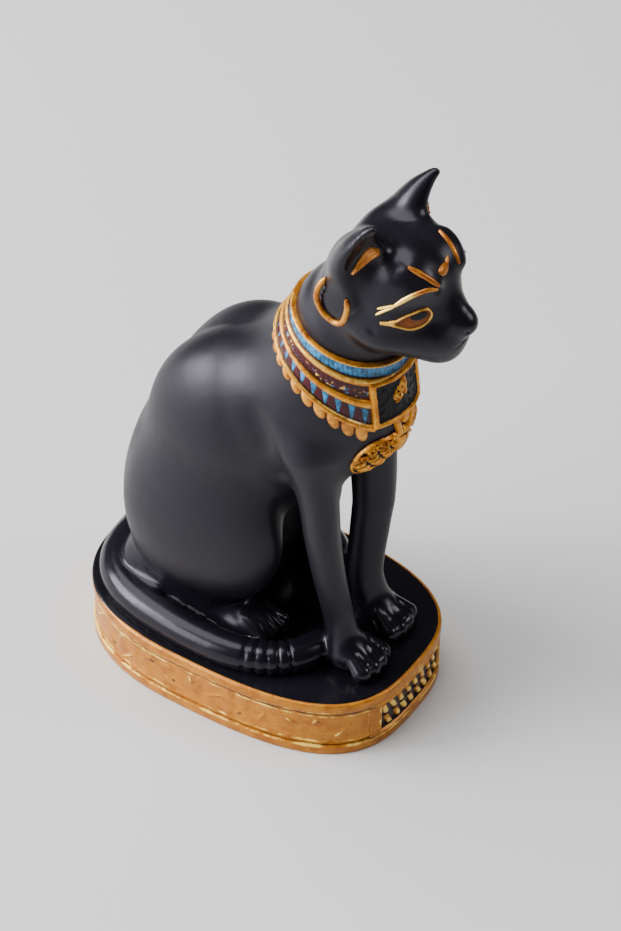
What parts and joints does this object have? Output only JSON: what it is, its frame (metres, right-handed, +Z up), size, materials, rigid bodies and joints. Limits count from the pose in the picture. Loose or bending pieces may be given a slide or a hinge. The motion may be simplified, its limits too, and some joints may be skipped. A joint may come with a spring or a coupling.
{
  "type": "seated cat figure",
  "caption": "Seated cat in one casting with its oval plinth: broad collar with a breast panel, pierced ear, tail laid round its right side, painted gold, blue and maroon on black.",
  "frame": {"origin": "middle of the plinth's underside, on the surface it stands on", "axes": "+Z up, -Y the way the cat looks, -X the cat's right side, where the tail lies"},
  "size_m": [0.0588, 0.0967, 0.1476],
  "materials": {
    "painted_resin": "satin black paint over cast resin, with hand-painted gold, light blue and maroon details"
  },
  "bodies": {
    "root": {"bastet_cat_figure": "painted_resin"}
  },
  "joints": []
}
